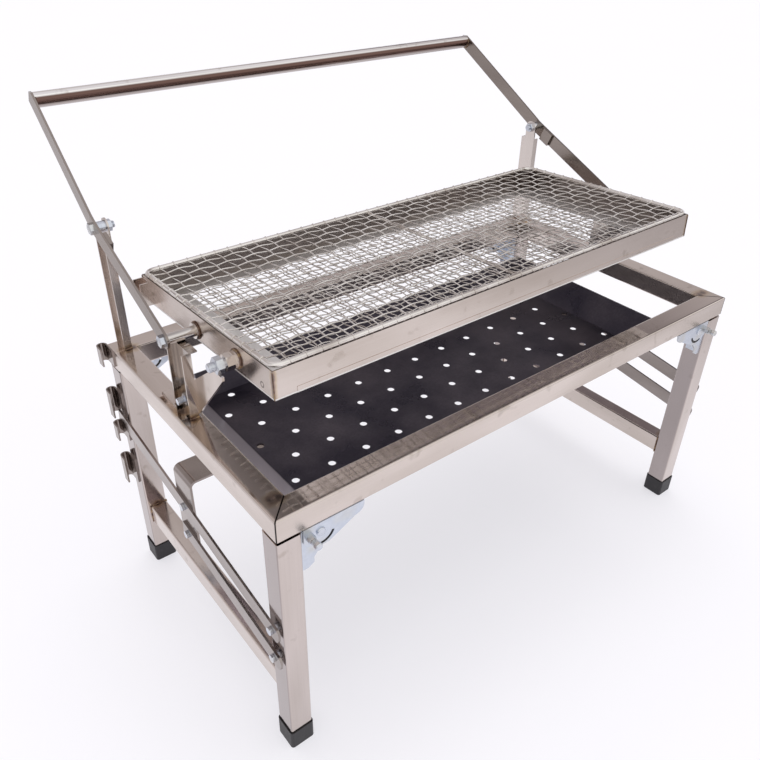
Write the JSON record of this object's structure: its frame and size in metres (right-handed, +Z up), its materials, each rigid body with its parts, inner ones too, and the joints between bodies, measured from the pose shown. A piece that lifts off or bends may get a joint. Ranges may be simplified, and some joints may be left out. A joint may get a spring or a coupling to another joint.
{
  "type": "rotisserie charcoal grill",
  "caption": "Folding square-tube charcoal grill with a hung pan whose height is set by side bars and a netted basket on a lift lever that raises it and turns it over.",
  "frame": {"origin": "on the floor, under the middle of the box around the whole grill", "axes": "+X along the long side to the right, +Y to the rear where the handle is, +Z up"},
  "size_m": [0.828, 0.6184, 0.675],
  "materials": {
    "stainless": "polished",
    "zinc": "zinc plated",
    "wire": "drawn wire",
    "dark_sheet": "heat darkened",
    "black_cap": "matte"
  },
  "bodies": {
    "frame": {"front_rail": "stainless", "rear_rail": "stainless", "left_rail": "stainless", "right_rail": "stainless", "left_lever_post": "stainless", "right_lever_post": "stainless", "left_shaft_post": "stainless", "right_shaft_post": "stainless", "left_rest_arm": "stainless", "right_rest_arm": "stainless", "rest_arm_bolts": "zinc", "front_left_rail_plate": "zinc", "front_right_rail_plate": "zinc", "rear_left_rail_plate": "zinc", "rear_right_rail_plate": "zinc", "fold_rivets": "zinc", "rail_catches": "stainless", "pivot_bolts": "zinc", "pivot_spacers": "zinc"},
    "left_legs": {"left_front_leg": "stainless", "left_rear_leg": "stainless", "left_leg_brace": "stainless", "left_leg_plates": "zinc", "left_foot_caps": "black_cap", "left_leg_catches": "stainless", "left_leg_screws": "zinc"},
    "right_legs": {"right_front_leg": "stainless", "right_rear_leg": "stainless", "right_leg_brace": "stainless", "right_leg_plates": "zinc", "right_foot_caps": "black_cap", "right_leg_catches": "stainless", "right_leg_screws": "zinc"},
    "left_bar": {"left_height_bar": "stainless"},
    "left_link": {"left_link_bar": "stainless"},
    "left_hanger_set": {"left_hanger": "stainless", "left_hanger_screws": "zinc"},
    "right_bar": {"right_height_bar": "stainless"},
    "right_link": {"right_link_bar": "stainless"},
    "right_hanger_set": {"right_hanger": "stainless", "right_hanger_screws": "zinc"},
    "pan": {"charcoal_pan": "dark_sheet"},
    "lever": {"left_lever_arm": "stainless", "right_lever_arm": "stainless", "lever_stop_plates": "stainless", "handle_bar": "stainless"},
    "basket": {"basket_tray": "stainless", "bottom_net": "wire", "shaft_tubes": "stainless", "shaft_bolts": "zinc", "stub_couplings": "zinc", "stub_bolts": "zinc", "stop_brackets": "stainless"},
    "lid_net": {"top_net": "wire", "top_net_rim": "wire", "top_net_rod": "wire"},
    "front_left_lock_pin_body": {"front_left_lock_pin": "zinc"},
    "front_right_lock_pin_body": {"front_right_lock_pin": "zinc"},
    "rear_left_lock_pin_body": {"rear_left_lock_pin": "zinc"},
    "rear_right_lock_pin_body": {"rear_right_lock_pin": "zinc"}
  },
  "joints": [
    {"name": "fold_left", "type": "hinge", "parent": "frame", "child": "left_legs", "pos_m": [-0.347, -0.07819, 0.344], "axis": [0, -1, 0], "range_deg": [0, 90]},
    {"name": "fold_right", "type": "hinge", "parent": "frame", "child": "right_legs", "pos_m": [0.347, -0.07819, 0.344], "axis": [0, 1, 0], "range_deg": [0, 90]},
    {"name": "height_left", "type": "hinge", "parent": "left_legs", "child": "left_bar", "pos_m": [-0.4045, -0.27319, 0.214], "axis": [1, 0, 0], "range_deg": [-13.6, 3]},
    {"name": "link_left", "type": "hinge", "parent": "left_legs", "child": "left_link", "pos_m": [-0.4045, -0.27319, 0.166], "axis": [1, 0, 0], "range_deg": [-13.6, 3]},
    {"name": "hanger_left", "type": "hinge", "parent": "left_bar", "child": "left_hanger_set", "pos_m": [-0.4045, -0.06619, 0.24505], "axis": [1, 0, 0], "range_deg": [-3, 13.6]},
    {"name": "height_right", "type": "hinge", "parent": "right_legs", "child": "right_bar", "pos_m": [0.4045, -0.27319, 0.214], "axis": [1, 0, 0], "range_deg": [-13.6, 3]},
    {"name": "link_right", "type": "hinge", "parent": "right_legs", "child": "right_link", "pos_m": [0.4045, -0.27319, 0.166], "axis": [1, 0, 0], "range_deg": [-13.6, 3]},
    {"name": "hanger_right", "type": "hinge", "parent": "right_bar", "child": "right_hanger_set", "pos_m": [0.4045, -0.06619, 0.24505], "axis": [1, 0, 0], "range_deg": [-3, 13.6]},
    {"name": "pan_level", "type": "hinge", "parent": "left_hanger_set", "child": "pan", "pos_m": [-0.282, -0.07819, 0.2965], "axis": [0, -1, 0], "range_deg": [-90, 0]},
    {"name": "lever_lift", "type": "hinge", "parent": "frame", "child": "lever", "pos_m": [0, 0.11381, 0.554], "axis": [-1, 0, 0], "range_deg": [0, 80]},
    {"name": "basket_turn", "type": "hinge", "parent": "lever", "child": "basket", "pos_m": [0, -0.05619, 0.4785], "axis": [-1, 0, 0], "range_deg": [0, 100]},
    {"name": "lid_net_lift", "type": "slide", "parent": "basket", "child": "lid_net", "axis": [0, 0.0523, 0.9986], "range_m": [0, 0.06]},
    {"name": "front_left_pin_pull", "type": "slide", "parent": "frame", "child": "front_left_lock_pin_body", "axis": [0, -1, 0], "range_m": [0, 0.006], "stiffness_N_per_m": 600},
    {"name": "front_right_pin_pull", "type": "slide", "parent": "frame", "child": "front_right_lock_pin_body", "axis": [0, -1, 0], "range_m": [0, 0.006], "stiffness_N_per_m": 600},
    {"name": "rear_left_pin_pull", "type": "slide", "parent": "frame", "child": "rear_left_lock_pin_body", "axis": [0, 1, 0], "range_m": [0, 0.006], "stiffness_N_per_m": 600},
    {"name": "rear_right_pin_pull", "type": "slide", "parent": "frame", "child": "rear_right_lock_pin_body", "axis": [0, 1, 0], "range_m": [0, 0.006], "stiffness_N_per_m": 600}
  ],
  "couplings": [
    {"joint": "fold_right", "follows": "fold_left", "ratio": 1},
    {"joint": "pan_level", "follows": "fold_left", "ratio": -1},
    {"joint": "link_left", "follows": "height_left", "ratio": 1},
    {"joint": "hanger_left", "follows": "height_left", "ratio": -1},
    {"joint": "height_right", "follows": "height_left", "ratio": 1},
    {"joint": "link_right", "follows": "height_left", "ratio": 1},
    {"joint": "hanger_right", "follows": "height_left", "ratio": -1},
    {"joint": "basket_turn", "follows": "lever_lift", "ratio": 1.25}
  ]
}
